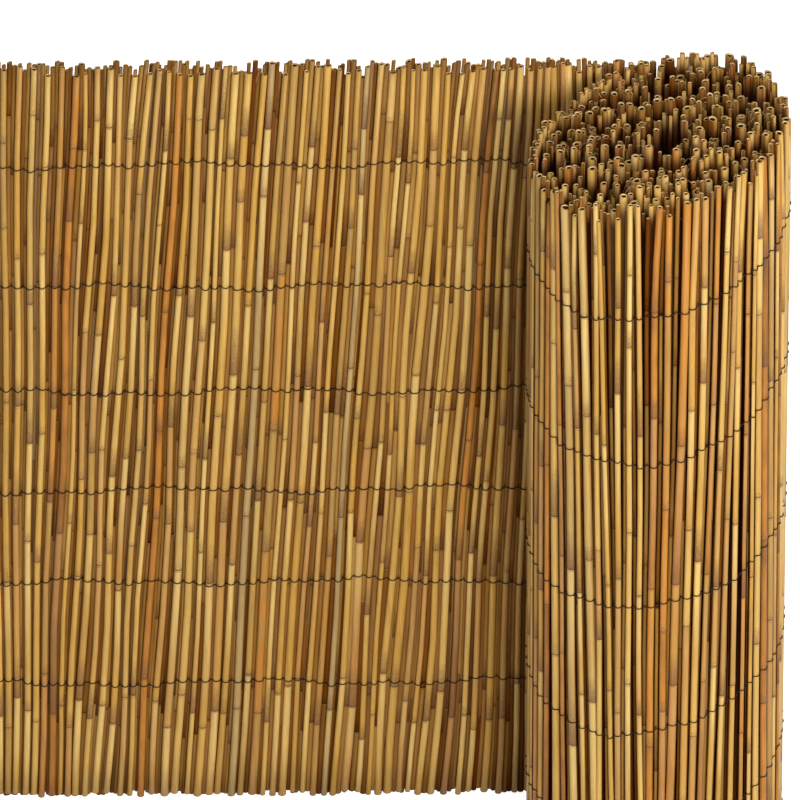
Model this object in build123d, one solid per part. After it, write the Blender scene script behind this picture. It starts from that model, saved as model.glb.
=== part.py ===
"""Reed screen, one metre tall: a mat of upright reeds bound by rows of wire.

It stands on its end, with one stretch pulled out straight and the rest still rolled up.
Seen from above, the roll's axis is the origin while the parts are made, the straight
stretch runs to the left along the back of the roll, and the turns wind clockwise inwards.
"""
import os
from math import acos, cos, pi, radians, sin

from build123d import *

# The mat
mat_height = 1000.0         # nominal length of a reed, from the ground to its cut top
top_unevenness = 13.0       # most that a cut top lies above or below its nominal height
reed_spacing = 12.2         # mean distance from one reed to the next along the mat
spacing_variation = 0.2     # largest share by which one reed is wider or narrower
reed_depth = 10.5            # thickness of the wall from crest to crest
web_thickness = 3.0         # thickness of the wall where two reeds meet

# How it is laid out
standing_length = 765.0     # straight stretch, from its free end to the back of the roll
roll_diameter = 285.0       # across the roll, from its left side to its right side
core_diameter = 30.0        # open space at the roll's axis
turn_gap = 5.0              # clear space between one turn's crests and the next turn's
roll_rise = 28.0            # how much higher the mat has crept at the roll's right side

# Gaps between the reeds of the straight stretch
gap_width = 1.8
top_gap_reach = 24.0        # most that an open gap runs on below the first row of wire
valleys_per_lower_gap_pause = 3     # one valley in this many has no gap lower down
row_margin = 14.0           # a closed gap ends this far from a row of wire

# Binding wire
wire_size = 1.2
wire_clearance = 0.3        # from the wire to the crests that it lies against
top_row_depth = 132.0       # the first row on the straight stretch, below the nominal top
bottom_row_height = 161.0   # the last row there, above the ground
row_shares_on_stretch = (0.0, 0.231, 0.431, 0.621, 0.801, 1.0)  # of the way between the two
roll_top_row_depth = 139.0  # the same two at the roll's front
roll_bottom_row_height = 45.0
row_shares_on_roll = (0.0, 0.235, 0.475, 0.684, 0.868, 1.0)
row_sag = 30.0              # how much lower a row hangs at the roll's front than at its sides
outer_strand_turn = 330.0   # degrees of the roll that the outer strand goes round
inner_strand_turn = 45.0    # degrees that the inner strand follows in between the turns
strand_step = 15.0          # degrees from one bend of a strand to the next

# Fineness of the ridges, as facets across one reed
facets_per_reed = {"in_view": 4, "inside_outer_turn": 2, "inner_turns": 2}

# Worked out from the sizes above
turn_pitch = reed_depth + turn_gap
first_radius = (roll_diameter + turn_pitch) / 2 - reed_depth / 2    # middle of the wall
last_radius = (core_diameter + reed_depth) / 2
shrink_per_radian = turn_pitch / (2 * pi)
ridge_rise = (reed_depth - web_thickness) / 2


def row_heights(first_depth, last_height, shares):
    """Heights of the rows of wire above the ground, from the top one down."""
    way_down = mat_height - first_depth - last_height
    return [mat_height - first_depth - way_down * share for share in shares]


rows_on_stretch = row_heights(top_row_depth, bottom_row_height, row_shares_on_stretch)
rows_on_roll = row_heights(roll_top_row_depth, roll_bottom_row_height, row_shares_on_roll)


def scatter(number, purpose):
    """A share from 0 to 1 that looks random and is always the same for the same reed."""
    return (sin(number * 12.9898 + purpose * 78.233) * 43758.5453) % 1.0


def spread(number, purpose):
    """The same from -1 to 1."""
    return 2 * scatter(number, purpose) - 1


def radius_after(turned):
    """Distance from the axis to the middle of the wall, this many radians into the roll."""
    return first_radius - shrink_per_radian * turned


def on_stretch(x):
    """Place on the wall's middle line, and the direction out of the wall's rear face."""
    return Vector(x, first_radius), Vector(0, 1)


def on_roll(turned):
    """The same on the roll, where the rear face becomes the outside of each turn."""
    outwards = Vector(sin(turned), cos(turned))
    return outwards * radius_after(turned), outwards


def creep(x):
    """How far the mat has crept up at this distance right of the roll's axis."""
    return roll_rise * x / first_radius


def ridge(start, end, side, facets):
    """Points across one reed's ridge, from valley to valley, on an arc over the crest.

    start and end are places as on_stretch gives them, and side is 1 for the rear or
    outer face and -1 for the front or inner face.
    """
    from_valley = start[0] + start[1] * (side * web_thickness / 2)
    to_valley = end[0] + end[1] * (side * web_thickness / 2)
    chord = to_valley - from_valley
    outwards = (start[1] + end[1]).normalized() * side
    if facets == 1:
        return [from_valley, to_valley]
    half = chord.length / 2
    arc_radius = (half**2 + ridge_rise**2) / (2 * ridge_rise)
    centre = from_valley + chord / 2 - outwards * (arc_radius - ridge_rise)
    half_angle = acos((arc_radius - ridge_rise) / arc_radius)
    along = chord.normalized()
    points = []
    for number in range(facets + 1):
        angle = half_angle * (2 * number / facets - 1)
        points.append(centre + along * (arc_radius * sin(angle)) + outwards * (arc_radius * cos(angle)))
    return points


def reed(start, end, outer_facets, inner_facets, height):
    """One reed as an upright prism from valley to valley."""
    outline = ridge(start, end, 1, outer_facets) + ridge(start, end, -1, inner_facets)[::-1]
    return Solid.extrude(Face(Wire.make_polygon(outline)), Vector(0, 0, height))


def fused(reeds):
    """The reeds joined where they meet, as the wall that the wire makes of them."""
    return reeds[0].fuse(*reeds[1:])


def stretch_valleys():
    """Where two reeds meet on the straight stretch, with its free end and its last valley."""
    count = round(standing_length / reed_spacing)
    widths = [1 + spacing_variation * spread(number, 1) for number in range(count)]
    scale = standing_length / sum(widths)
    valleys = [-standing_length]
    for width in widths:
        valleys.append(valleys[-1] + width * scale)
    valleys[-1] = 0.0
    return valleys


def roll_valleys():
    """The same on the roll, as radians turned, until the core is reached."""
    valleys = [0.0]
    while radius_after(valleys[-1]) > last_radius:
        width = reed_spacing * (1 + spacing_variation * spread(len(valleys), 2))
        valleys.append(valleys[-1] + width / radius_after(valleys[-1]))
    return valleys


def gap_cutter(x, low, high):
    """What is cut away between two reeds, through the wall from front to rear."""
    middle = Vector(x, first_radius, (low + high) / 2)
    return Solid.make_box(gap_width, 2 * reed_depth, high - low).moved(
        Location(middle - Vector(gap_width, 2 * reed_depth, high - low) / 2)
    )


def gaps(valleys):
    """One open gap at the top of every valley, and a closed one lower down in most."""
    rows = rows_on_stretch
    cutters = []
    for number, x in enumerate(valleys[1:-1]):
        open_from = rows[0] - top_gap_reach * scatter(number, 4)
        cutters.append(gap_cutter(x, open_from, mat_height + 2 * top_unevenness))
        if number % valleys_per_lower_gap_pause == 0:
            continue
        upper = 1 + int(scatter(number, 6) * (len(rows) - 2))
        cutters.append(gap_cutter(x, rows[upper + 1] + row_margin, rows[upper] - row_margin))
    return cutters


def standing_stretch():
    """The straight stretch of the mat, ridged on both faces."""
    valleys = stretch_valleys()
    reeds = []
    for number, (left, right) in enumerate(zip(valleys, valleys[1:])):
        height = mat_height + top_unevenness * spread(number, 3)
        facets = facets_per_reed["in_view"]
        reeds.append(reed(on_stretch(left), on_stretch(right), facets, facets, height))
    return fused(reeds).cut(*gaps(valleys))


def rolled_turns():
    """All turns of the roll, wound as one spiral wall."""
    valleys = roll_valleys()
    reeds = []
    for number, (start, end) in enumerate(zip(valleys, valleys[1:])):
        if end < 2 * pi:
            outer_facets, inner_facets = facets_per_reed["in_view"], facets_per_reed["inside_outer_turn"]
        else:
            outer_facets, inner_facets = facets_per_reed["inner_turns"], 1
        x = on_roll((start + end) / 2)[0].X
        height = mat_height + creep(x) + top_unevenness * spread(number, 5)
        reeds.append(reed(on_roll(start), on_roll(end), outer_facets, inner_facets, height))
    return fused(reeds)


def row_height(row, turned):
    """Height of a row of wire, which settles from the stretch's to the roll's by a quarter turn."""
    share = min(max(turned / (pi / 2), 0.0), 1.0)
    at_roll = rows_on_roll[row] + row_sag * (1 + cos(turned))
    height = rows_on_stretch[row] + (at_roll - rows_on_stretch[row]) * share
    return height + creep(on_roll(turned)[0].X)


def strand(points):
    """A wire of square section along straight runs."""
    path = Wire.make_polygon(points, close=False)
    start = Plane(origin=points[0], z_dir=points[1] - points[0])
    section = start * Rectangle(wire_size, wire_size)
    return sweep(section, path, transition=Transition.RIGHT).solid()


def outer_strand(row):
    """The strand on the rear face, drawn round the outside of the roll."""
    off_middle = reed_depth / 2 + wire_clearance + wire_size / 2
    points = [Vector(-standing_length, first_radius + off_middle, row_height(row, 0.0))]
    step = radians(strand_step)
    turned = step / 2
    while turned < radians(outer_strand_turn):
        outwards = on_roll(turned)[1]
        bend = outwards * ((radius_after(turned - step / 2) + off_middle) / cos(step / 2))
        points.append(bend + Vector(0, 0, row_height(row, turned)))
        turned += step
    return strand(points)


def inner_strand(row):
    """The strand on the front face, which runs in between the first two turns."""
    off_middle = reed_depth / 2 + wire_clearance + wire_size / 2
    points = [Vector(-standing_length, first_radius - off_middle, row_height(row, 0.0))]
    step = radians(strand_step)
    for number in range(round(inner_strand_turn / strand_step) + 1):
        place, outwards = on_roll(step * number)
        points.append(place - outwards * off_middle + Vector(0, 0, row_height(row, step * number)))
    return strand(points)


def all_parts():
    """Every node's solid by name, before the base is brought to the origin."""
    parts = {"standing_stretch": standing_stretch(), "rolled_turns": rolled_turns()}
    for row in range(len(rows_on_stretch)):
        parts[f"wire_row_{row + 1}_outer_strand"] = outer_strand(row)
        parts[f"wire_row_{row + 1}_inner_strand"] = inner_strand(row)
    return parts


parts = all_parts()
box = Compound(children=[part.moved(Location()) for part in parts.values()]).bounding_box()
base_centre = Vector((box.min.X + box.max.X) / 2, (box.min.Y + box.max.Y) / 2, box.min.Z)

os.makedirs("parts", exist_ok=True)
for name, part in parts.items():
    export_step(part.moved(Location(-base_centre)), f"parts/{name}.step")
    print(name, round(part.volume / 1000, 1), "cm3")
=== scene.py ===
# %% [markdown]
# # A reed screen, stood on its end and half unrolled
#
# A reed screen is a mat of dry reed canes. Two strands of thin wire run across it in each of
# six rows, one strand on each face, and cross in every gap between two canes. Here the mat is
# one metre high. A straight stretch stands at the back, and the rest is rolled up at its end.
#
# The solids of the screen come in as a fixed frame. This script dresses them: every cane
# becomes a hollow stem with nodes, an open cut end and its own colour, and every strand of
# wire is bent round the canes that it holds.

# %% Load the frame
from math import atan2, cos, pi, radians, sin

import bpy
from mathutils import Matrix, Vector


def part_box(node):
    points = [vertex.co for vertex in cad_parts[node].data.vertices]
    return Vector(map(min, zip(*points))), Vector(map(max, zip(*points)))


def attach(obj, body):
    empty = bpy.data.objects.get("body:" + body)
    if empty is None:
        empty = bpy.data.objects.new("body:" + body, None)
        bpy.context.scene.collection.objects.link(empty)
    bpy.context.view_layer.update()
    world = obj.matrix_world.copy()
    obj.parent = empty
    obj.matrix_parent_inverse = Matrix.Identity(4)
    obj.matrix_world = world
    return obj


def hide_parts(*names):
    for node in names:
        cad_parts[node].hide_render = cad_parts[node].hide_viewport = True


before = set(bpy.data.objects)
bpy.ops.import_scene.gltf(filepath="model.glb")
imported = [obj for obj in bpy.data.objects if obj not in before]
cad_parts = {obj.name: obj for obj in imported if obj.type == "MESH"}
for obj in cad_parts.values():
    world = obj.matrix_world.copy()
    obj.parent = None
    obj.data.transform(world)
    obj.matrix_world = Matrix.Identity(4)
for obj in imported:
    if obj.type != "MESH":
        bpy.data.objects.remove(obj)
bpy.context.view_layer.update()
print("nodes:", len(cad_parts))

# %% [markdown]
# ## Sizes of the mat
#
# The solids were made from a few sizes, and the same sizes are written here in metres. The
# place of the mat isn't typed in: it is read from the box of the straight stretch's solid. The
# straight stretch ends level with the roll's axis, and its middle line lies one radius behind it.

# %% Sizes of the mat
mat_height = 1.0
top_unevenness = 0.013
reed_spacing = 0.0122
spacing_variation = 0.2
first_radius = 0.1450           # from the roll's axis to the middle of its outermost turn
last_radius = 0.02025           # the same for the innermost turn
turn_pitch = 0.0155
roll_rise = 0.028               # how much higher the mat has crept at the roll's right side

stretch_low, stretch_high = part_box("standing_stretch")
standing_length = stretch_high.x - stretch_low.x
wall_y = (stretch_low.y + stretch_high.y) / 2
axis = Vector((stretch_high.x, wall_y - first_radius, 0.0))
print("roll's axis at", [round(value, 4) for value in axis])

# %% [markdown]
# ## A number that looks random
#
# No two canes are alike, but the script has to make the same mat each time it runs. A share
# that jumps about with a cane's number does that without any random generator: the fractional
# part of a large sine. The second number says what the share is for, so that a thick cane
# isn't always a dark one too.

# %% Scatter


def scatter(number, purpose):
    """A share from 0 to 1 that is always the same for the same number and purpose."""
    return (sin(number * 12.9898 + purpose * 78.233) * 43758.5453) % 1.0


def spread(number, purpose):
    """The same from -1 to 1."""
    return 2 * scatter(number, purpose) - 1


def between(low, high, share):
    return low + (high - low) * share


def eased(low, high, value):
    """0 below low, 1 above high, and a smooth rise between the two."""
    share = min(max((value - low) / (high - low), 0.0), 1.0)
    return share * share * (3 - 2 * share)


print("first shares:", [round(scatter(number, 1), 3) for number in range(4)])

# %% [markdown]
# ## Rows of wire
#
# The rows are not evenly spaced, and on the roll they stand further apart than on the straight
# stretch. They also sag: the canes at the roll's front have slid down, so a row hangs lower
# there than at the roll's sides. A row changes over behind the roll, and it wanders by a few
# millimetres all along, as rows do when the mat is made on a fast machine.

# %% Rows of wire
top_row_depth, bottom_row_height = 0.132, 0.161
row_shares_on_stretch = (0.0, 0.231, 0.431, 0.621, 0.801, 1.0)
roll_top_row_depth, roll_bottom_row_height = 0.139, 0.045
row_shares_on_roll = (0.0, 0.235, 0.475, 0.684, 0.868, 1.0)
row_sag = 0.030                 # how much lower a row hangs at the roll's front than at its sides
row_wander = 0.0032


def row_heights(first_depth, last_height, shares):
    way_down = mat_height - first_depth - last_height
    return [mat_height - first_depth - way_down * share for share in shares]


rows_on_stretch = row_heights(top_row_depth, bottom_row_height, row_shares_on_stretch)
rows_on_roll = row_heights(roll_top_row_depth, roll_bottom_row_height, row_shares_on_roll)


def radius_after(turned):
    return first_radius - turn_pitch * turned / (2 * pi)


def creep(turned):
    """How far the mat has crept up where the roll has turned by this much."""
    return roll_rise * radius_after(turned) * sin(turned) / first_radius


def row_height(row, turned, along):
    """Height of a row. turned is 0 on the straight stretch, and along counts metres of mat."""
    settled = min(max(turned / (pi / 2), 0.0), 1.0)
    at_roll = rows_on_roll[row] + row_sag * (1 + cos(turned))
    height = between(rows_on_stretch[row], at_roll, settled) + creep(turned)
    wander = sin(along * 21 + row * 2.1) + 0.7 * sin(along * 57 + row * 4.7) + 0.4 * sin(along * 131 + row)
    return height + row_wander * wander


print("rows on the stretch:", [round(height, 3) for height in rows_on_stretch])

# %% [markdown]
# ## One cane
#
# A cane is a small record: its foot, its thickness, its height, how it leans and bows, and how
# its free tip splays above the first wire. The main canes are the thick ones. They lie on the
# face that is seen, which is the front of the stretch and the outside of the roll.
#
# No cane is quite upright. The stretch has sheared to the right over most of its length, so
# its canes lean together. Neighbours also bow together, as the wires hold them, and each cane
# bows a little by itself. Two functions say where a cane's middle is at a height, and how
# thick it is there. The wires ask them later, and the node tree does the same sum for every
# point of a stem.

# %% One cane
outer_face = 0.0050             # from the mat's middle to the crests behind and outside
inner_face = 0.0057             # and to the crests in front and on the roll's inner side
foot_unevenness = 0.006
cut_room = 0.0026               # what a tilted cut may rise above the middle of the cane's top
stretch_lean = radians(3.4)
roll_lean = radians(1.1)        # on the roll, neighbours lean together, now left and now right
lean_pivot = 0.5                # height at which a leaning cane keeps its place
bow_length = 0.45               # metres of height for one full bow of neighbours together
own_bow_length = 0.60           # and of a single cane
free_above = mat_height - 0.115     # above this a cane's tip is free of the wires
free_length = mat_height - free_above
tip_fall = 0.002                # most that a free tip falls away from the mat's outside
splay_power = 1.4               # how slowly the splay of a tip sets in
taper = 0.10                    # share by which a cane is thinner at its top
strays = {                      # how far canes bow together, and lean, bow and splay alone
    "stretch": {"bow": 0.0014, "lean": radians(0.22), "own_bow": 0.0008, "splay": 0.0022},
    "roll": {"bow": 0.0004, "lean": radians(0.45), "own_bow": 0.0007, "splay": 0.0035},
}


def place(along_stretch, turned, off_middle):
    """A point of the mat at the ground, with the directions along the mat and out of its rear."""
    if turned <= 0:
        along, outwards = Vector((1, 0, 0)), Vector((0, 1, 0))
        point = Vector((along_stretch, wall_y, 0))
    else:
        outwards = Vector((sin(turned), cos(turned), 0))
        along = Vector((cos(turned), -sin(turned), 0))
        point = axis + outwards * radius_after(turned)
    return point + outwards * off_middle, along, outwards


def lean_at(x, turned):
    """Lean that a cane shares with its neighbours. On the stretch it dies out at both ends."""
    if turned > 0:
        return roll_lean * sin(3.2 * (turned - pi) - 0.3) * eased(0, 0.5, turned)
    return stretch_lean * eased(stretch_low.x, stretch_low.x + 0.16, x) * (1 - eased(0.08, 0.26, x))


def make_cane(number, kind, x, turned, diameter, height):
    """One cane. kind is 0 for a main one, 1 for one in a valley and 2 for one further back."""
    good_side = 1 if turned > 0 else -1
    side = good_side if kind == 0 else -good_side
    face = outer_face if side > 0 else inner_face
    foot, along, outwards = place(x, turned, side * (face - diameter / 2))
    foot.z = foot_unevenness * scatter(number, 17 + 10 * kind) ** 2
    stray = strays["roll" if turned > 0 else "stretch"]
    way = first_radius * turned if turned > 0 else x
    own_phase = 2 * pi * scatter(number, 18)
    freedom = 0.4 + 0.6 * eased(0, 0.05, x - stretch_low.x)
    return {
        "number": number + 1000 * kind, "kind": kind, "turned": turned, "x": x, "foot": foot,
        "along": along, "inwards": outwards * -side, "outwards": outwards,
        "radius": diameter / 2, "reach": height - foot.z - cut_room,
        "lean": along * (lean_at(x, turned) + stray["lean"] * spread(number, 11) * freedom),
        "bow": along * stray["bow"] * (1 + 0.5 * sin(17 * way)),
        "bow_phase": 48 * way + 1.3 * sin(23 * way),
        "swing": Vector((cos(own_phase), sin(own_phase))) * stray["own_bow"] * spread(number, 13),
        "splay": along * stray["splay"] * spread(number, 15) - outwards * tip_fall * scatter(number, 16),
    }


def cane_middle(cane, height):
    """Middle of a cane at a height above the ground."""
    rise = height - cane["foot"].z
    free = max((rise - free_above) / free_length, 0.0) ** splay_power
    together = sin(2 * pi * rise / bow_length + cane["bow_phase"])
    angle = 2 * pi * rise / own_bow_length
    alone = cane["swing"].x * sin(angle) + cane["swing"].y * cos(angle)
    middle = cane["foot"] + cane["lean"] * (rise - lean_pivot) + cane["splay"] * free
    middle += cane["bow"] * together + cane["along"] * alone
    return Vector((middle.x, middle.y, height))


def cane_radius(cane, height):
    return cane["radius"] * (1 - taper * height / cane["reach"])


print("lean half way along the stretch:", round(lean_at(axis.x - standing_length / 2, 0), 4))

# %% [markdown]
# ## The second layer
#
# Behind the main canes lie thinner ones, which lean and bow as the main canes beside them.
# Where bare background lies behind the mat, on the stretch and at the roll's sides and back,
# any slit would shine white. So each valley there gets one or two canes, as thick as the gap
# asks, and each main cane gets one behind it. Elsewhere the second layer is left to chance,
# and in the inner turns its tips end lower.

# %% Second layer
valley_diameter = (0.0052, 0.0086)
valley_diameter_on_roll = (0.0044, 0.0070)
rear_diameter = (0.0046, 0.0056)
gap_overlap = 0.0018            # by how much a cane in a valley is wider than the gap
one_cane_up_to = 0.0068         # a wider gap takes two canes
probe_heights = (0.05, 0.2, 0.35, 0.5, 0.65, 0.8, 0.9, 0.98)
chances_in_outer_turn = (1.0, 0.6)      # of a cane in a valley and of one behind a main cane
chances_further_in = (0.8, 0.1)
inner_tip_drop = 0.022
short_chance, short_by = 0.05, (0.005, 0.018)


def gap_between(first, second):
    """The widest that the gap between two main canes gets, and how far off its middle lies."""
    width = max(
        (cane_middle(second, height) - cane_middle(first, height)).length
        - cane_radius(first, height) - cane_radius(second, height)
        for height in probe_heights)
    return width, (first["radius"] - second["radius"]) / 2


def seen_against_the_light(turned):
    """Whether bare background lies behind the mat here, so that no gap may stay open."""
    return turned < 2 * pi and abs(turned - pi) > 1.7


def second_cane(number, kind, x, turned, diameter, leaders):
    """A thinner cane of the second layer, which leans and bows as the main canes beside it."""
    on_roll = turned > 0
    height = mat_height + creep(turned) + 0.9 * top_unevenness * spread(number, 25 + kind)
    if not on_roll:
        height = mat_height - 0.001 + 0.5 * top_unevenness * spread(number, 25 + kind)
    if turned > 2 * pi:
        height -= inner_tip_drop * scatter(number, 35 + kind)
    elif scatter(number, 32 + kind) < short_chance:
        height -= between(*short_by, scatter(number, 35 + kind))
    cane = make_cane(number, kind, x, turned, diameter, height)
    for part in ("lean", "swing", "splay"):
        cane[part] = sum((leader[part] for leader in leaders), 0 * leaders[0][part]) / len(leaders)
    if on_roll:
        astray = radians(0.12 if seen_against_the_light(turned) else 0.5)
        cane["lean"] = cane["lean"] + cane["along"] * astray * spread(number, 11 + 10 * kind)
    return cane


def second_layer(mains, valleys):
    """The canes behind the main ones, in the valleys and right behind a main cane."""
    canes = []
    for main, following, valley in zip(mains, mains[1:], valleys):
        number, turned = main["number"], main["turned"]
        width, shift = gap_between(main, following)
        if seen_against_the_light(turned):
            count = 1 if width < one_cane_up_to else 2
            diameter = min(max(width / count + gap_overlap, valley_diameter[0]), valley_diameter[1])
            for part in range(count):
                aside = shift + (part - (count - 1) / 2) * width / 2
                middle = (main["x"] + following["x"]) / 2 + aside
                where = valley + aside / radius_after(valley) if turned > 0 else 0
                leaders = (main, following)
                canes.append(second_cane(number + 400 * part, 1, middle, where, diameter, leaders))
            diameter = between(*rear_diameter, scatter(number, 29))
            canes.append(second_cane(number, 2, main["x"], turned, diameter, (main,)))
            continue
        valley_chance, rear_chance = chances_in_outer_turn if valley < 2 * pi else chances_further_in
        if scatter(number, 23) < valley_chance:
            diameter = between(*valley_diameter_on_roll, scatter(number, 28))
            canes.append(second_cane(number, 1, 0, valley, diameter, (main, following)))
        if scatter(number, 24) < rear_chance:
            diameter = between(*rear_diameter, scatter(number, 29))
            canes.append(second_cane(number, 2, 0, turned, diameter, (main,)))
    return canes


print("the roll's front is against the light:", seen_against_the_light(pi))

# %% [markdown]
# ## Two walks along the mat
#
# The main canes stand in the middle of the ridges that the solids have, so their places come
# from the same two walks that made the solids: one along the straight stretch, one into the
# spiral. Where the two meet, one more cane stands in the gap. The canes of the roll's outer
# turn are kept apart from the ones further in, which show only their tips and may be plainer.

# %% Canes of the mat
thick_share = (0.56, 0.78)      # a main cane's diameter, as a share of its ridge's width
thick_share_on_roll = (0.50, 0.88)
stretch_tip_drop = 0.005        # the stretch's tips are lower and more even than the roll's
stretch_unevenness = 0.6 * top_unevenness
joining_diameter = 0.0082


def stretch_canes():
    count = round(standing_length / reed_spacing)
    widths = [1 + spacing_variation * spread(number, 1) for number in range(count)]
    scale = standing_length / sum(widths)
    mains, valleys, left = [], [], stretch_low.x
    for number, width in enumerate(widths):
        right = left + width * scale
        diameter = (right - left) * between(*thick_share, scatter(number, 20))
        height = mat_height - stretch_tip_drop + stretch_unevenness * spread(number, 3)
        mains.append(make_cane(number, 0, (left + right) / 2, 0, diameter, height))
        valleys.append(right)
        left = right
    return mains + second_layer(mains, valleys)


def roll_canes():
    mains, valleys, turned, number = [], [], 0.0, 0
    while radius_after(turned) > last_radius:
        width = reed_spacing * (1 + spacing_variation * spread(number + 1, 2))
        end = turned + width / radius_after(turned)
        middle = (turned + end) / 2
        diameter = width * between(*thick_share_on_roll, scatter(number, 30))
        height = mat_height + creep(middle) + top_unevenness * spread(number, 5)
        mains.append(make_cane(number + 200, 0, 0, middle, diameter, height))
        valleys.append(end)
        turned, number = end, number + 1
    return mains + second_layer(mains, valleys)


def joining_cane(last, first):
    """The one between the last main cane of the stretch and the first one of the roll."""
    return second_cane(450, 1, axis.x, 0, joining_diameter, (last, first))


standing = stretch_canes()
rolled = roll_canes()
last_standing = max((cane for cane in standing if cane["kind"] == 0), key=lambda cane: cane["x"])
standing.append(joining_cane(last_standing, rolled[0]))
shown_until = 2 * pi + 0.3
outer_turn = [cane for cane in rolled if cane["turned"] < shown_until]
inner_turns = [cane for cane in rolled if cane["turned"] >= shown_until]
print("canes standing, in the outer turn and further in:", len(standing), len(outer_turn), len(inner_turns))

# %% [markdown]
# ## One stem, as rings
#
# A reed stem is a hollow tube with a swollen ring, a node, every 15 to 25 cm. The sheath of a
# leaf starts at each node and wraps the stem above it, so the stem is a little thicker just
# above a node and slimmer just below. The stem is made here once, one unit long and one unit
# in radius, as rings of points. Geometry Nodes will stretch, lean and bend a copy for each
# cane. Each point remembers how far it is from the node below and from the node above, which
# is what the colours follow later.
#
# Four stems with their nodes at different heights are enough, because every copy also slides
# its nodes up or down a little. Canes far inside the roll show only their tips, so their stem
# has few rings.

# %% Stem rings
bore_share = 0.64               # radius of the hollow, as a share of the stem's
bore_depth = 0.014              # share of the length that the open hollow goes down


def node_shares(variant, count):
    """Where the nodes are, as shares of the stem's length."""
    first, step = between(0.05, 0.17, scatter(variant, 40)), 0.98
    places = [number + 0.25 * spread(variant * 7 + number, 41) for number in range(count)]
    return [first + where * step / count for where in places]


def stem_rings(variant, count, fine):
    """Rings as (share of length, radius, since the node below, until the node above, segment)."""
    nodes = [share for share in node_shares(variant, count) if share < 0.985]
    edges = [0.0] + nodes + [1.0]
    rings = [(0.0, 1.0, 0.1, edges[1], 0)]
    for segment, (low, high) in enumerate(zip(edges, edges[1:])):
        since_start = 0.1 if segment == 0 else 0.0
        if segment > 0:
            rings.append((low + 0.0011, 1.07, 0.0005, high - low, segment))
            if fine:
                rings.append((low + 0.012, 1.02, 0.012, high - low - 0.012, segment))
        if count > 2 and high - low > 0.06:
            half = (high - low) / 2
            rings.append(((low + high) / 2, 1.0, half + since_start, half, segment))
        if high < 1.0:
            rings.append((high - 0.0006, 0.99, high - low, 0.0004, segment))
    rings.append((1.0, 1.0, 1.0 - edges[-2], 0.1, len(nodes)))
    return rings


def stem_mesh(name, variant, sides, node_count, fine):
    """A closed stem: outer wall, cut end, open bore with a floor, and a plain lower end."""
    rings = [(*ring, 0.0) for ring in stem_rings(variant, node_count, fine)]
    top = rings[-1]
    rings.append((1.0, bore_share, top[2], 0.1, top[4], 0.5))
    rings.append((1.0 - bore_depth / 8, bore_share * 0.97, top[2], 0.1, top[4], 0.85))
    rings.append((1.0 - bore_depth, bore_share * 0.9, top[2], 0.1, top[4], 1.0))
    points, faces = [], []
    for share, radius, *_ in rings:
        for side in range(sides):
            angle = 2 * pi * side / sides
            points.append((radius * cos(angle), radius * sin(angle), share))
    for ring in range(len(rings) - 1):
        for side in range(sides):
            a, b = ring * sides + side, ring * sides + (side + 1) % sides
            faces.append((a, b, b + sides, a + sides))
    faces.append(tuple(range(sides))[::-1])
    faces.append(tuple(range((len(rings) - 1) * sides, len(rings) * sides)))
    mesh = bpy.data.meshes.new(name)
    mesh.from_pydata(points, [], faces)
    for column, attribute in ((2, "since_node"), (3, "until_node"), (4, "segment"), (5, "inside")):
        values = [ring[column] for ring in rings for side in range(sides)]
        mesh.attributes.new(attribute, "FLOAT", "POINT").data.foreach_set("value", values)
    section = mesh.attributes.new("section", "FLOAT_VECTOR", "POINT")
    section.data.foreach_set("vector", [value for point in points for value in point])
    return mesh


def stem_collection(name, sides, node_count, fine):
    """Four variants of a stem, which the points of the mat pick from."""
    collection = bpy.data.collections.new(name)
    for variant in range(4):
        mesh = stem_mesh(name, variant, sides, node_count, fine)
        collection.objects.link(bpy.data.objects.new(f"{name}_{variant}", mesh))
    return collection


fine_stems = stem_collection("fine_stem", 10, 5, True)
thin_stems = stem_collection("thin_stem", 8, 5, False)
plain_stems = stem_collection("plain_stem", 8, 2, False)

# %% [markdown]
# ## A short way to write node trees
#
# Trees of nodes are easier to read as one call per node. The helper makes a node, sets its
# settings, and fills its inputs: a socket is linked, anything else is written in as a value.
# Sums and products come up most, so they have short names of their own.
#
# A tree works on a source object through a modifier. What comes out is kept as a plain mesh,
# and the source goes.

# %% Tree helpers


def add_node(tree, kind, inputs=(), **settings):
    node = tree.nodes.new(kind)
    for setting, value in settings.items():
        setattr(node, setting, value)
    pairs = inputs.items() if isinstance(inputs, dict) else enumerate(inputs)
    for key, value in pairs:
        if isinstance(value, bpy.types.NodeSocket):
            tree.links.new(value, node.inputs[key])
        else:
            node.inputs[key].default_value = value
    return node


def maths(tree, operation, *values, clamp=False):
    return add_node(tree, "ShaderNodeMath", values, operation=operation, use_clamp=clamp).outputs[0]


def times(tree, first, second):
    return maths(tree, "MULTIPLY", first, second)


def plus(tree, first, second, clamp=False):
    return maths(tree, "ADD", first, second, clamp=clamp)


def one_minus(tree, value):
    return maths(tree, "SUBTRACT", 1.0, value)


def scaled(tree, vector, factor):
    inputs = {"Vector": vector, "Scale": factor}
    return add_node(tree, "ShaderNodeVectorMath", inputs, operation="SCALE").outputs[0]


def dot(tree, first, second):
    node = add_node(tree, "ShaderNodeVectorMath", [first, second], operation="DOT_PRODUCT")
    return node.outputs["Value"]


def named(tree, name, kind="FLOAT"):
    node = add_node(tree, "GeometryNodeInputNamedAttribute", {"Name": name}, data_type=kind)
    return node.outputs["Attribute"]


def named_vector(tree, name):
    return named(tree, name, "FLOAT_VECTOR")


def stored(tree, geometry, name, value):
    inputs = {"Geometry": geometry, "Name": name, "Value": value}
    node = add_node(tree, "GeometryNodeStoreNamedAttribute", inputs, data_type="FLOAT", domain="POINT")
    return node.outputs[0]


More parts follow.
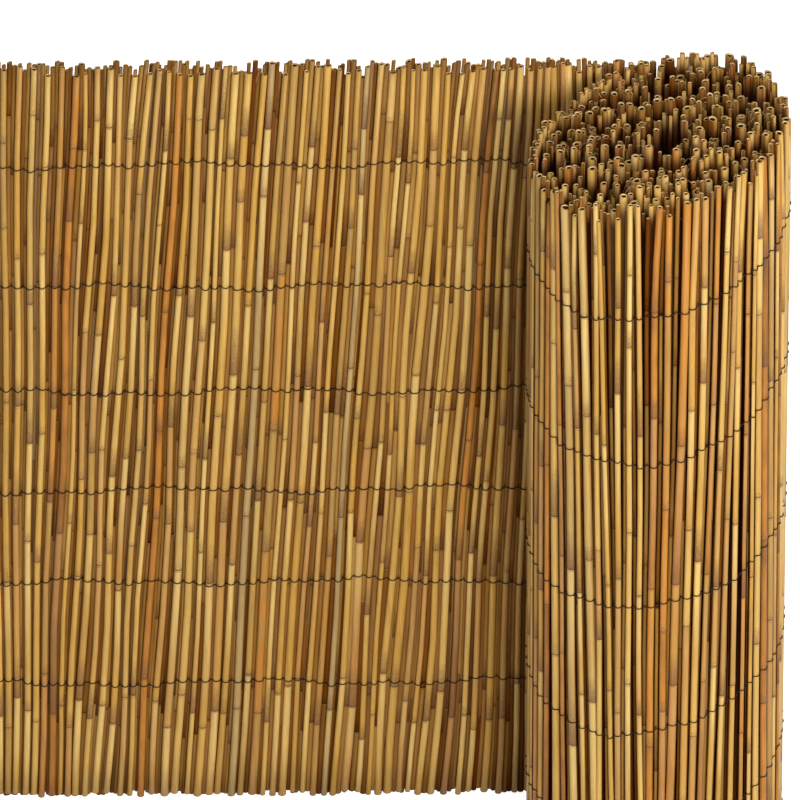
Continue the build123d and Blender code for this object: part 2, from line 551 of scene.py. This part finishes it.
def skinned(tree, geometry, skin):
    """The last nodes of either tree: smooth shading and the skin."""
    smooth = add_node(tree, "GeometryNodeSetShadeSmooth", {"Geometry": geometry}).outputs[0]
    inputs = {"Geometry": smooth, "Material": skin}
    add_node(tree, "NodeGroupOutput", [add_node(tree, "GeometryNodeSetMaterial", inputs).outputs[0]])


def tree_with_inputs(name, inputs):
    tree = bpy.data.node_groups.new(name, "GeometryNodeTree")
    tree.interface.new_socket(name="Geometry", in_out="INPUT", socket_type="NodeSocketGeometry")
    for label, kind in inputs.items():
        tree.interface.new_socket(name=label, in_out="INPUT", socket_type=kind)
    tree.interface.new_socket(name="Geometry", in_out="OUTPUT", socket_type="NodeSocketGeometry")
    return tree, tree.nodes.new("NodeGroupInput").outputs


def run_tree(name, mesh, tree, values):
    """A plain mesh object from a mesh that a tree has worked on."""
    source = bpy.data.objects.new(name + "_source", mesh)
    bpy.context.scene.collection.objects.link(source)
    modifier = source.modifiers.new("tree", "NODES")
    modifier.node_group = tree
    for item in tree.interface.items_tree:
        if item.in_out == "INPUT" and item.name in values:
            modifier[item.identifier] = values[item.name]
    graph = bpy.context.evaluated_depsgraph_get()
    made = bpy.data.meshes.new_from_object(
        source.evaluated_get(graph), preserve_all_data_layers=True, depsgraph=graph)
    source.modifiers.remove(modifier)
    bpy.data.objects.remove(source)
    made.name = name
    made.materials.clear()
    made.materials.append(values["Skin"])
    piece = bpy.data.objects.new(name, made)
    bpy.context.scene.collection.objects.link(piece)
    return piece


print("helpers ready")

# %% [markdown]
# ## The tree that stands the canes up
#
# The input is a cloud of points, one for each cane, that carries the cane's sizes. The tree
# puts a stem on every point and makes the stems real. Then each vertex is moved to its place:
# up by its share of the length, sideways by the lean, the bow and the splay of the free tip,
# and out from the middle by the cane's radius. The cut end is tilted a little, because the
# blade never meets a cane quite squarely.

# %% Cane tree
shape_inputs = {
    "Lean pivot": lean_pivot, "Bow length": bow_length, "Own bow length": own_bow_length,
    "Free above": free_above, "Free length": free_length, "Splay power": splay_power, "Taper": taper,
}
cut_from = 0.997                # rings above this share of the length tilt with the cut


def cane_tree():
    tree, given = tree_with_inputs("stand canes up", {
        "Stems": "NodeSocketCollection", "Skin": "NodeSocketMaterial", "Seed": "NodeSocketInt",
        **{label: "NodeSocketFloat" for label in shape_inputs},
    })
    stems = add_node(tree, "GeometryNodeCollectionInfo", {
        "Collection": given["Stems"], "Separate Children": True, "Reset Children": True})
    stood = add_node(tree, "GeometryNodeInstanceOnPoints", {
        "Points": given["Geometry"], "Instance": stems.outputs[0], "Pick Instance": True,
        "Instance Index": named(tree, "variant", "INT")})
    real = add_node(tree, "GeometryNodeRealizeInstances", {"Geometry": stood.outputs[0]}).outputs[0]

    # height of each point, with the nodes slid up or down
    section = add_node(tree, "ShaderNodeSeparateXYZ", [named_vector(tree, "section")]).outputs
    share, reach = section[2], named(tree, "reach")
    slide_one = times(tree, maths(tree, "SINE", times(tree, share, pi)), named(tree, "slide"))
    slide_two = times(tree, maths(tree, "SINE", times(tree, share, 2 * pi)), named(tree, "slide_twice"))
    height = times(tree, plus(tree, share, plus(tree, slide_one, slide_two)), reach)

    # how far the cane's middle is off its foot there
    rounds = times(tree, height, 2 * pi)
    wave = plus(tree, maths(tree, "DIVIDE", rounds, given["Bow length"]), named(tree, "bow_phase"))
    own_wave = plus(tree, named(tree, "own_phase"), maths(tree, "DIVIDE", rounds, given["Own bow length"]))
    free = maths(tree, "DIVIDE", maths(tree, "SUBTRACT", height, given["Free above"]), given["Free length"])
    factors = {
        "lean": maths(tree, "SUBTRACT", height, given["Lean pivot"]),
        "bow": maths(tree, "SINE", wave),
        "own_bow": maths(tree, "SINE", own_wave),
        "splay": maths(tree, "POWER", maths(tree, "MAXIMUM", free, 0.0), given["Splay power"]),
    }
    parts = [scaled(tree, named_vector(tree, name), factor) for name, factor in factors.items()]

    # the stem's wall round that middle, and the tilt of the cut
    radius = times(tree, named(tree, "radius"), one_minus(tree, times(tree, share, given["Taper"])))
    slope = plus(tree, section[0], times(tree, section[1], named(tree, "cut_skew")))
    cut = times(tree, slope, times(tree, radius, named(tree, "cut_tilt")))
    cut = times(tree, cut, maths(tree, "GREATER_THAN", share, cut_from))
    around = add_node(tree, "ShaderNodeCombineXYZ", [
        times(tree, section[0], radius), times(tree, section[1], radius), plus(tree, height, cut)]).outputs[0]
    spot = named_vector(tree, "foot")
    for part in (*parts, around):
        spot = add_node(tree, "ShaderNodeVectorMath", [spot, part], operation="ADD").outputs[0]
    placed = add_node(tree, "GeometryNodeSetPosition", {"Geometry": real, "Position": spot}).outputs[0]

    # what the skin reads
    lot = plus(tree, times(tree, named(tree, "number"), 8.0), named(tree, "segment"))
    chance = add_node(tree, "FunctionNodeRandomValue", {"ID": lot, "Seed": given["Seed"]}, data_type="FLOAT")
    placed = stored(tree, placed, "sheath", chance.outputs[1])
    for name in ("since_node", "until_node"):
        placed = stored(tree, placed, name, times(tree, named(tree, name), reach))
    # which way each point faces, and how deep it lies among the canes of the roll, for the painted shade
    buried = dot(tree, named_vector(tree, "section"), named_vector(tree, "inwards"))
    placed = stored(tree, placed, "buried", buried)
    to_core = dot(tree, named_vector(tree, "section"), named_vector(tree, "to_core"))
    walled = plus(tree, named(tree, "enclosed"), to_core, clamp=True)     # by other canes
    sunk = times(tree, times(tree, one_minus(tree, share), reach), walled)
    skinned(tree, stored(tree, placed, "sunk", sunk), given["Skin"])
    return tree


stand_canes_up = cane_tree()
print("nodes in the cane tree:", len(stand_canes_up.nodes))

# %% [markdown]
# ## The skin of a cane
#
# Dry reed is straw yellow, but no two stems agree: some are golden, some orange, some grey or
# brown. Along one stem the colour jumps at every node. Just below a node the stem was wrapped
# until lately and is pale and clean. Just above it the sheath has left brown specks. Where a
# sheath still clings, the stem is pinkish orange. On the sides and at the back, where canes
# touch, the stem is darkened to dark brown with painted shade. The painted shade is darkest
# among the canes of the roll, a little below their tips.
#
# All of that is a group of shader nodes that reads the distances stored on the stem and gives
# out a colour, a roughness, a height for the bump and a gloss. Clean skin has a soft gloss and
# the painted shade has none, so the gloss drives the shader's coat. The shader stays in the material.

# %% Colours of reed
straw = (0.65, 0.395, 0.100, 1)
gold = (0.57, 0.305, 0.050, 1)
tan = (0.43, 0.245, 0.062, 1)
amber = (0.53, 0.205, 0.024, 1)
umber = (0.17, 0.065, 0.011, 1)
pale_straw = (0.79, 0.535, 0.175, 1)
sheath_pink = (0.51, 0.255, 0.075, 1)
speck_brown = (0.15, 0.070, 0.022, 1)
node_brown = (0.09, 0.036, 0.010, 1)
cut_cream = (0.93, 0.66, 0.27, 1)
# painted shade down the open bore
painted_bore_shade = (0.060, 0.027, 0.009, 1)
weathered = (0.31, 0.235, 0.125, 1)
stain_brown = (0.20, 0.078, 0.024, 1)
# painted shade: the first is multiplied in where canes touch, the second among the canes of the roll
painted_shade_colour = (0.22, 0.100, 0.018, 1)     # multiplied in where canes touch
painted_deep_shade_colour = (0.12, 0.020, 0.002, 1)       # and among the canes of the roll
print("from pale to dark:", [straw[0], gold[0], tan[0], umber[0]])

# %% [markdown]
# Some more short names help with skins: an attribute of the mesh, a ramp of colours, smooth
# steps up and down, a mix of two colours, and noise that can be stretched along the stem.

# %% Skin helpers


def attribute(tree, name):
    return add_node(tree, "ShaderNodeAttribute", attribute_name=name).outputs["Fac"]


def ramped(tree, value, stops):
    node = add_node(tree, "ShaderNodeValToRGB", [value])
    node.color_ramp.interpolation = "LINEAR"
    while len(node.color_ramp.elements) < len(stops):
        node.color_ramp.elements.new(0.5)
    for element, (position, colour) in zip(node.color_ramp.elements, stops):
        element.position, element.color = position, colour
    return node.outputs[0]


def rising(tree, value, low, high):
    node = add_node(tree, "ShaderNodeMapRange", [value, low, high, 0.0, 1.0], interpolation_type="SMOOTHSTEP")
    return node.outputs[0]


def falling(tree, value, low, high):
    return one_minus(tree, rising(tree, value, low, high))


def mixed(tree, share, first, second, blend="MIX"):
    """Two colours mixed. The node has sockets for every kind of data, so they go by number."""
    inputs = {0: share, 6: first, 7: second}
    return add_node(tree, "ShaderNodeMix", inputs, data_type="RGBA", blend_type=blend).outputs[2]


def noise(tree, where, scale, detail=2.0, roughness=0.5):
    inputs = {"Vector": where, "Scale": scale, "Detail": detail, "Roughness": roughness}
    return add_node(tree, "ShaderNodeTexNoise", inputs).outputs["Fac"]


def stretched(tree, where, scale):
    return add_node(tree, "ShaderNodeMapping", {"Vector": where, "Scale": scale}).outputs[0]


def skin_group(name):
    """An empty group with the four things that a skin gives out, and the place it is read at."""
    tree = bpy.data.node_groups.new(name, "ShaderNodeTree")
    tree.interface.new_socket(name="Color", in_out="OUTPUT", socket_type="NodeSocketColor")
    for output in ("Roughness", "Height", "Gloss"):
        tree.interface.new_socket(name=output, in_out="OUTPUT", socket_type="NodeSocketFloat")
    return tree, add_node(tree, "ShaderNodeTexCoord").outputs["Object"]


print("skin helpers ready")

# %% [markdown]
# The reed's skin is built from the plain colour upwards. Each step mixes one more thing over
# what is there: the pale end below a node, the stain and specks above it, its dark ring, the
# streaks, the painted shade where canes touch and among the roll's canes, and last the cut end
# with painted shade down the bore.

# %% Reed skin


def reed_skin_group():
    tree, where = skin_group("reed skin")
    fibre = noise(tree, stretched(tree, where, (1.0, 1.0, 0.012)), 1500.0, 3.0, 0.6)
    streak = noise(tree, stretched(tree, where, (1.0, 1.0, 0.05)), 330.0)
    blotch = noise(tree, stretched(tree, where, (1.0, 1.0, 0.35)), 60.0)
    speck = noise(tree, stretched(tree, where, (1.0, 1.0, 0.6)), 900.0, 1.0)
    tone, sheath, age = [attribute(tree, name) for name in ("tone", "sheath", "age")]
    since, until, inside = [attribute(tree, name) for name in ("since_node", "until_node", "inside")]
    variety = maths(tree, "FRACT", times(tree, sheath, 7.3))
    chance = maths(tree, "FRACT", times(tree, sheath, 13.7))

    # the colour of the stretch between two nodes
    shade = plus(tree, tone, times(tree, maths(tree, "SUBTRACT", blotch, 0.5), 0.35))
    shade = plus(tree, shade, times(tree, maths(tree, "SUBTRACT", sheath, 0.5), 0.30))
    colour = ramped(tree, shade, ((0.0, straw), (0.36, gold), (0.58, tan), (0.78, amber), (1.0, umber)))
    wrapped = times(tree, rising(tree, sheath, 0.70, 0.76), falling(tree, until, -0.02, 0.30))
    colour = mixed(tree, times(tree, wrapped, 0.75), colour, sheath_pink)
    colour = mixed(tree, times(tree, rising(tree, age, 0.80, 0.95), 0.6), colour, weathered)

    # pale below a node
    pale_reach = plus(tree, 0.03, times(tree, variety, 0.16))
    below = falling(tree, maths(tree, "DIVIDE", until, pale_reach), 0.15, 1.0)
    clean = times(tree, below, falling(tree, tone, 0.45, 0.85))
    clean = times(tree, clean, rising(tree, variety, 0.30, 0.75))
    colour = mixed(tree, times(tree, clean, 0.75), colour, pale_straw)

    # stained and specked above it, and a dark ring at it
    reach_up = plus(tree, 0.008, times(tree, times(tree, chance, chance), 0.065))
    fade = maths(tree, "SUBTRACT", 1.0, maths(tree, "DIVIDE", since, reach_up), clamp=True)
    cloudy = rising(tree, plus(tree, chance, times(tree, blotch, 0.4)), 0.35, 0.95)
    colour = mixed(tree, times(tree, times(tree, fade, cloudy), 0.8), colour, stain_brown)
    specked = times(tree, maths(tree, "SQRT", fade), rising(tree, speck, 0.44, 0.58))
    colour = mixed(tree, times(tree, specked, 0.6), colour, speck_brown)
    spots = times(tree, rising(tree, speck, 0.68, 0.74), rising(tree, blotch, 0.50, 0.62))
    colour = mixed(tree, times(tree, spots, 0.55), colour, speck_brown)
    ring = maths(tree, "MAXIMUM", falling(tree, since, 0.0008, 0.0030), falling(tree, until, 0.0004, 0.0012))
    colour = mixed(tree, times(tree, ring, 0.85), colour, node_brown)

    # fine streaks along the stem
    value = plus(tree, 0.50, plus(tree, times(tree, fibre, 0.40), times(tree, streak, 0.55)))
    grey = add_node(tree, "ShaderNodeCombineColor", [value, value, value]).outputs[0]
    colour = mixed(tree, 1.0, colour, grey, "MULTIPLY")

    # painted shade at the sides, at the back and among the canes of the roll
    buried, sunk = attribute(tree, "buried"), attribute(tree, "sunk")
    sides = times(tree, rising(tree, buried, -0.82, 0.28), 0.90)
    facing_back = rising(tree, buried, 0.15, 0.85)
    painted_back_shade = times(tree, plus(tree, 0.46, times(tree, variety, 0.50)), facing_back)
    painted_shade = plus(tree, times(tree, sides, one_minus(tree, facing_back)), painted_back_shade)
    colour = mixed(tree, painted_shade, colour, mixed(tree, 1.0, colour, painted_shade_colour, "MULTIPLY"))
    # painted shade among the canes of the roll, growing a little below their tips
    painted_deep_shade = times(tree, rising(tree, sunk, 0.0, 0.024), plus(tree, 0.80, times(tree, variety, 0.18)))
    colour = mixed(tree, painted_deep_shade, colour, mixed(tree, 1.0, colour, painted_deep_shade_colour, "MULTIPLY"))
    gloss = times(tree, one_minus(tree, maths(tree, "MAXIMUM", painted_shade, painted_deep_shade)), 0.6)

    # the cut end, and painted shade down the bore
    cut_end = times(tree, rising(tree, inside, 0.2, 0.45), plus(tree, 0.45, speck))
    colour = mixed(tree, cut_end, colour, cut_cream)
    colour = mixed(tree, rising(tree, inside, 0.55, 0.8), colour, painted_bore_shade)

    rough = plus(tree, 0.40, times(tree, blotch, 0.25))
    rough = plus(tree, rough, times(tree, maths(tree, "MAXIMUM", inside, specked), 0.3), clamp=True)
    relief = plus(tree, times(tree, fibre, 0.6), times(tree, streak, 0.4))
    relief = maths(tree, "SUBTRACT", relief, times(tree, ring, 0.8))
    add_node(tree, "NodeGroupOutput", [colour, rough, relief, gloss])
    return tree


def finished(name, group, bump, **settings):
    """A material: the group's colour, roughness, gloss and height in a Principled shader."""
    material = bpy.data.materials.new(name)
    material.use_nodes = True
    tree = material.node_tree
    shader = tree.nodes["Principled BSDF"]
    looks = add_node(tree, "ShaderNodeGroup", node_tree=group)
    tree.links.new(looks.outputs["Color"], shader.inputs["Base Color"])
    tree.links.new(looks.outputs["Roughness"], shader.inputs["Roughness"])
    tree.links.new(looks.outputs["Gloss"], shader.inputs["Coat Weight"])
    relief = {"Height": looks.outputs["Height"], "Strength": bump, "Distance": 0.0004}
    tree.links.new(add_node(tree, "ShaderNodeBump", relief).outputs[0], shader.inputs["Normal"])
    for socket, value in settings.items():
        shader.inputs[socket.replace("_", " ")].default_value = value
    return material


reed_skin = reed_skin_group()
cane_skin = finished("dry_reed", reed_skin, 0.5, Specular_IOR_Level=0.0, Coat_Roughness=0.45)
print("nodes in the reed skin:", len(reed_skin.nodes))

# %% [markdown]
# ## Standing the canes up
#
# The records become a cloud of points with attributes. The colour shares are given here too:
# tone runs from pale straw to dark brown, and most canes are on the pale side.
#
# What the skin doesn't read is taken off the finished mesh again.

# %% Canes to meshes
tones = {                       # share of pale canes, and the tones of pale and of dark ones
    "stretch": (0.88, (0.02, 0.60), (0.60, 0.95)),
    "roll": (0.76, (0.06, 0.50), (0.68, 0.88)),
}
node_slide, node_slide_twice = 0.055, 0.03      # shares of the length that nodes move up or down
steepest_cut = 0.22
read_by_the_tree_only = (
    "section", "segment", "variant", "number", "foot", "inwards", "to_core", "lean", "bow", "own_bow",
    "bow_phase", "own_phase", "splay", "enclosed", "reach", "radius", "slide", "slide_twice",
    "cut_tilt", "cut_skew",
)


def tone_of(cane):
    share = scatter(cane["number"], 50)
    common, pale, dark = tones["roll" if cane["turned"] > 0 else "stretch"]
    if share < common:
        return between(*pale, share / common)
    return between(*dark, (share - common) / (1 - common))


def cane_points(name, canes):
    mesh = bpy.data.meshes.new(name)
    mesh.from_pydata([cane["foot"] for cane in canes], [], [])
    floats = {
        "reach": lambda cane: cane["reach"],
        "radius": lambda cane: cane["radius"],
        "bow_phase": lambda cane: cane["bow_phase"],
        "own_phase": lambda cane: atan2(cane["swing"].y, cane["swing"].x),
        "enclosed": lambda cane: 3.0 if cane["turned"] > 2 * pi else 0.0,
        "number": lambda cane: float(cane["number"]),
        "slide": lambda cane: node_slide * spread(cane["number"], 51),
        "slide_twice": lambda cane: node_slide_twice * spread(cane["number"], 52),
        "cut_tilt": lambda cane: steepest_cut * spread(cane["number"], 53),
        "cut_skew": lambda cane: spread(cane["number"], 54),
        "tone": tone_of,
        "age": lambda cane: scatter(cane["number"], 55) * (0.88 if cane["turned"] > 0 else 1.0),
    }
    for attribute_name, value in floats.items():
        data = mesh.attributes.new(attribute_name, "FLOAT", "POINT").data
        data.foreach_set("value", [value(cane) for cane in canes])
    variants = [int(4 * scatter(cane["number"], 56)) for cane in canes]
    mesh.attributes.new("variant", "INT", "POINT").data.foreach_set("value", variants)
    parts = ("foot", "inwards", "lean", "bow", "splay")
    directions = {part: [cane[part] for cane in canes] for part in parts}
    directions["own_bow"] = [cane["along"] * cane["swing"].length for cane in canes]
    directions["to_core"] = [cane["outwards"] * (-2.0 if cane["turned"] > 0 else 0.0) for cane in canes]
    for attribute_name, values in directions.items():
        data = mesh.attributes.new(attribute_name, "FLOAT_VECTOR", "POINT").data
        data.foreach_set("vector", [number for value in values for number in value])
    return mesh


def stand_up(name, canes, stems):
    piece = run_tree(name, cane_points(name, canes), stand_canes_up, {
        "Stems": stems, "Skin": cane_skin, "Seed": 7, **shape_inputs})
    for attribute_name in read_by_the_tree_only:
        if attribute_name in piece.data.attributes:
            piece.data.attributes.remove(piece.data.attributes[attribute_name])
    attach(piece, "root")
    print(name, len(canes), "canes,", len(piece.data.polygons), "faces")
    return piece


def layer(canes, second):
    return [cane for cane in canes if (cane["kind"] > 0) == second]


standing_reeds = stand_up("standing_reeds", layer(standing, False), fine_stems)
standing_second = stand_up("standing_second_layer", layer(standing, True), thin_stems)
outer_turn_reeds = stand_up("outer_turn_reeds", layer(outer_turn, False), fine_stems)
outer_turn_second = stand_up("outer_turn_second_layer", layer(outer_turn, True), thin_stems)
inner_turn_reeds = stand_up("inner_turn_reeds", inner_turns, plain_stems)
for piece in (standing_reeds, standing_second):
    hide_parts("standing_stretch")
for piece in (outer_turn_reeds, outer_turn_second, inner_turn_reeds):
    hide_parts("rolled_turns")

# %% [markdown]
# ## Binding wire
#
# Each strand runs across one face of the mat. It lies against a cane over about a third of its
# round and hangs a little lower at the front of the cane. Between two canes it stays near its
# own face and turns inwards at one narrow spot, where it is twisted with the strand of the
# other face. So the path of a strand is found cane by cane, from where the cane's middle is at
# that height, which is the same sum that the tree does. No two loops hang alike.

# %% Wire paths
wire_radius = 0.00065
wrap_angles = [radians(angle) for angle in (-56, -30, 0, 30, 56)]
wrap_room = 1.03                # the wire's inner side, as a share of the cane's radius
wire_dip = 0.0008               # mean depth of a loop
wire_slip = 0.0011              # how far a whole loop may sit too high or too low
gap_lift = 0.0010
twist_rise = 0.0016
gap_path = (                    # along the mat, off its middle, and share of the twist's rise
    (-0.0008, 0.0022, 0), (0, -0.0012, 1), (0.0008, 0.0022, 0))
strand_turn = {1: radians(325), -1: radians(45)}    # how far round the roll each strand goes


def mat_length(cane):
    """Metres of mat from the roll's back to this cane, negative on the straight stretch."""
    if cane["turned"] <= 0:
        return cane["x"] - axis.x
    return (first_radius + radius_after(cane["turned"])) / 2 * cane["turned"]


def strand_path(canes, row, side):
    """Points of a strand. side is 1 for the rear or outer face and -1 for the other."""
    points = []
    for number, cane in enumerate(canes):
        height = row_height(row, cane["turned"], mat_length(cane))
        middle = cane_middle(cane, height)
        hug = cane_radius(cane, height) * wrap_room + wire_radius
        dip = wire_dip * (0.2 + 1.6 * scatter(cane["number"], 60 + row))
        slipped = wire_slip * spread(cane["number"], 80 + row)
        for angle in wrap_angles:
            point = middle + cane["along"] * (hug * sin(angle)) + cane["outwards"] * (side * hug * cos(angle))
            point.z += slipped + dip * ((abs(angle) / wrap_angles[-1]) ** 2 - 0.5)
            points.append(point)
        if number + 1 < len(canes):
            following = canes[number + 1]
            next_height = row_height(row, following["turned"], mat_length(following))
            halfway = (middle + cane_middle(following, next_height)) / 2
            lift = 0.4 * dip + gap_lift * scatter(cane["number"], 70 + row)
            twist = twist_rise * scatter(cane["number"], 90 + row)
            for aside, off_middle, share in gap_path:
                sideways = cane["along"] * aside + cane["outwards"] * (side * off_middle)
                points.append(halfway + sideways + Vector((0, 0, lift + share * twist)))
    return points


def canes_on_side(side):
    """The canes that a strand crosses on its face, in order along the mat."""
    chosen = []
    for cane in standing + outer_turn:
        if cane["turned"] > strand_turn[side]:
            continue
        on_good_face = side > 0 if cane["turned"] > 0 else side < 0
        if (cane["kind"] == 0) == on_good_face:
            chosen.append(cane)
    return sorted(chosen, key=mat_length)


print("canes under the inner and the outer strand:", len(canes_on_side(-1)), len(canes_on_side(1)))

# %% [markdown]
# A path becomes wire in a small tree: the edges turn into a curve, and a circle is swept
# along it. Five sides are plenty for a wire that is one millimetre thick. Its skin is annealed
# steel that has gone dark brown, with a little rust.

# %% Wire skin and wire tree
wire_dark = (0.016, 0.009, 0.005, 1)
wire_rust = (0.050, 0.020, 0.008, 1)


def wire_skin_group():
    tree, where = skin_group("wire skin")
    patch = noise(tree, where, 140.0)
    grit = noise(tree, where, 2200.0, 2.0, 0.6)
    rust = times(tree, rising(tree, patch, 0.48, 0.66), plus(tree, 0.4, grit))
    colour = mixed(tree, rust, wire_dark, wire_rust)
    rough = plus(tree, 0.42, times(tree, rust, 0.35), clamp=True)
    add_node(tree, "NodeGroupOutput", [colour, rough, grit, times(tree, grit, 0.2)])
    return tree


def wire_tree():
    tree, given = tree_with_inputs("draw wire", {
        "Radius": "NodeSocketFloat", "Sides": "NodeSocketInt", "Skin": "NodeSocketMaterial"})
    curve = add_node(tree, "GeometryNodeMeshToCurve", [given["Geometry"]]).outputs[0]
    ring = add_node(tree, "GeometryNodeCurvePrimitiveCircle", {
        "Resolution": given["Sides"], "Radius": given["Radius"]}).outputs[0]
    swept = add_node(tree, "GeometryNodeCurveToMesh", {
        "Curve": curve, "Profile Curve": ring, "Fill Caps": True}).outputs[0]
    real = add_node(tree, "GeometryNodeRealizeInstances", {"Geometry": swept}).outputs[0]
    skinned(tree, real, given["Skin"])
    return tree


wire_skin = finished(
    "annealed_wire", wire_skin_group(), 0.3, Metallic=0.35, Specular_IOR_Level=0.1, Coat_Roughness=0.5)
draw_wire = wire_tree()


def strand_piece(row, side, word):
    name = f"wire_row_{row + 1}_{word}"
    points = strand_path(canes_on_side(side), row, side)
    mesh = bpy.data.meshes.new(name)
    mesh.from_pydata(points, [(number, number + 1) for number in range(len(points) - 1)], [])
    piece = run_tree(name, mesh, draw_wire, {"Radius": wire_radius, "Sides": 5, "Skin": wire_skin})
    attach(piece, "root")
    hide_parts(f"wire_row_{row + 1}_{word}_strand")
    return piece


strands = [strand_piece(row, side, word) for row in range(6) for side, word in ((1, "outer"), (-1, "inner"))]
print("faces of wire:", sum(len(strand.data.polygons) for strand in strands))

# %% [markdown]
# ## Loose fibres
#
# A dull blade tears the last fibres of a stem instead of cutting them, and scraps of the inner
# skin hang on. So fine pale hairs curl out from among the cut ends, most of them on the roll.
# Each hair is a short path from the rim of a cut end outwards and down, and the tree that
# draws the wire draws the hairs too, only thinner.

# %% Loose fibres
fibre_radius = 0.00028
fibre_length = (0.005, 0.019)
fibre_steps = 5
fibre_root = 0.0025             # below the middle of the cut end
fibre_colour = (0.56, 0.36, 0.14, 1)


def fibre(cane):
    """Points of one hair. On the stretch it hangs over the front."""
    number = cane["number"]
    top = cane["foot"].z + cane["reach"]
    angle = 2 * pi * scatter(number, 100)
    aside = Vector((cos(angle), sin(angle), 0))
    if cane["turned"] <= 0:
        aside.y = -abs(aside.y)
    across = Vector((-aside.y, aside.x, 0)) * spread(number, 103)
    start = cane_middle(cane, top - fibre_root) + aside * (0.95 * cane_radius(cane, top))
    length = between(*fibre_length, scatter(number, 101))
    points = []
    for step in range(fibre_steps):
        share = step / (fibre_steps - 1)
        sideways = (aside * 0.55 * share + across * 0.45 * share ** 2) * length
        rise = length * share * (0.55 * scatter(number, 102) - 0.75 * share)
        points.append(start + sideways + Vector((0, 0, rise)))
    return points


def plain_material(name, colour, roughness):
    material = bpy.data.materials.new(name)
    material.use_nodes = True
    shader = material.node_tree.nodes["Principled BSDF"]
    shader.inputs["Base Color"].default_value = colour
    shader.inputs["Roughness"].default_value = roughness
    return material


def fibre_piece(name, canes, chance, skin):
    points, edges = [], []
    for cane in canes:
        if scatter(cane["number"], 99) < chance:
            edges += [(len(points) + step, len(points) + step + 1) for step in range(fibre_steps - 1)]
            points += fibre(cane)
    mesh = bpy.data.meshes.new(name)
    mesh.from_pydata(points, edges, [])
    piece = run_tree(name, mesh, draw_wire, {"Radius": fibre_radius, "Sides": 3, "Skin": skin})
    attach(piece, "root")
    print(name, len(points) // fibre_steps, "fibres")


fibre_skin = plain_material("dry_fibre", fibre_colour, 0.8)
fibre_piece("roll_fibres", inner_turns, 0.42, fibre_skin)
fibre_piece("stretch_fibres", standing, 0.06, fibre_skin)

# %% [markdown]
# ## Floor, light and camera
#
# The floor is white and takes the screen's shadow. To the camera it also shines a little of
# its own, so that it stays white where the lamps leave it grey. The key lamp stands to the
# right and in front, the fill above it, and a third lamp lights the screen's rear face. The
# photograph was taken from above with a long lens, and the camera looks down on the screen at
# the same angle.

# %% Stage


def seen_directly(tree):
    """1 for rays that see a thing itself or its mirror image, and 0 for light that it gives."""
    path = add_node(tree, "ShaderNodeLightPath").outputs
    seen = maths(tree, "MAXIMUM", path["Is Camera Ray"], path["Is Glossy Ray"])
    return maths(tree, "MAXIMUM", seen, path["Is Transmission Ray"])


def floor(reach=30.0, shine=0.9):
    mesh = bpy.data.meshes.new("floor")
    corners = [(-reach, -reach, 0), (reach, -reach, 0), (reach, reach, 0), (-reach, reach, 0)]
    mesh.from_pydata(corners, [], [(0, 1, 2, 3)])
    piece = bpy.data.objects.new("floor", mesh)
    bpy.context.scene.collection.objects.link(piece)
    material = plain_material("white_floor", (0.80, 0.80, 0.80, 1), 0.9)
    tree = material.node_tree
    shader = tree.nodes["Principled BSDF"]
    shader.inputs["Emission Color"].default_value = (1, 1, 1, 1)
    tree.links.new(times(tree, seen_directly(tree), shine), shader.inputs["Emission Strength"])
    mesh.materials.append(material)


def area_lamp(name, spot, size, power, target=(0.0, 0.0, 0.6)):
    lamp = bpy.data.lights.new(name, "AREA")
    lamp.shape, lamp.size, lamp.energy = "SQUARE", size, power
    piece = bpy.data.objects.new(name, lamp)
    direction = Vector(target) - Vector(spot)
    turn = direction.to_track_quat("-Z", "Y").to_matrix().to_4x4()
    piece.matrix_world = Matrix.Translation(spot) @ turn
    bpy.context.scene.collection.objects.link(piece)


def sky(strength):
    world = bpy.data.worlds.new("studio")
    bpy.context.scene.world = world
    world.use_nodes = True
    tree = world.node_tree
    light = tree.nodes["Background"]
    light.inputs["Color"].default_value = (1, 1, 1, 1)
    brightness = plus(tree, times(tree, seen_directly(tree), 1.0 - strength), strength)
    tree.links.new(brightness, light.inputs["Strength"])


floor()
sky(strength=0.17)
area_lamp("key", (0.85, -2.85, 1.75), size=1.3, power=83)
area_lamp("fill", (1.8, -1.2, 3.4), size=1.2, power=36)
area_lamp("rear", (-1.3, 2.9, 1.6), size=1.8, power=48)
print("stage set")

# %% Camera
photo_width = 800
focal_pixels = 12853
aimed_at = Vector((0.032, 0.0, 0.650))
distance = 14.0
pitch, yaw, roll = radians(36.0), radians(0.0), radians(-0.4)


def camera():
    lens = bpy.data.cameras.new("photo_camera")
    lens.sensor_width = 36.0
    lens.lens = focal_pixels * lens.sensor_width / photo_width
    lens.clip_end = 100.0
    piece = bpy.data.objects.new("photo_camera", lens)
    bpy.context.scene.collection.objects.link(piece)
    forward = Vector((sin(yaw) * cos(pitch), cos(yaw) * cos(pitch), -sin(pitch)))
    level = Vector((cos(yaw), -sin(yaw), 0))
    upright = level.cross(forward)
    right = level * cos(roll) + upright * sin(roll)
    up = upright * cos(roll) - level * sin(roll)
    turn = Matrix((right, up, -forward)).transposed().to_4x4()
    piece.matrix_world = Matrix.Translation(aimed_at - forward * distance) @ turn
    bpy.context.scene.camera = piece
    return piece


photo_camera = camera()
bpy.context.scene.view_settings.view_transform = "Standard"
print("lens", round(photo_camera.data.lens, 1), "mm")
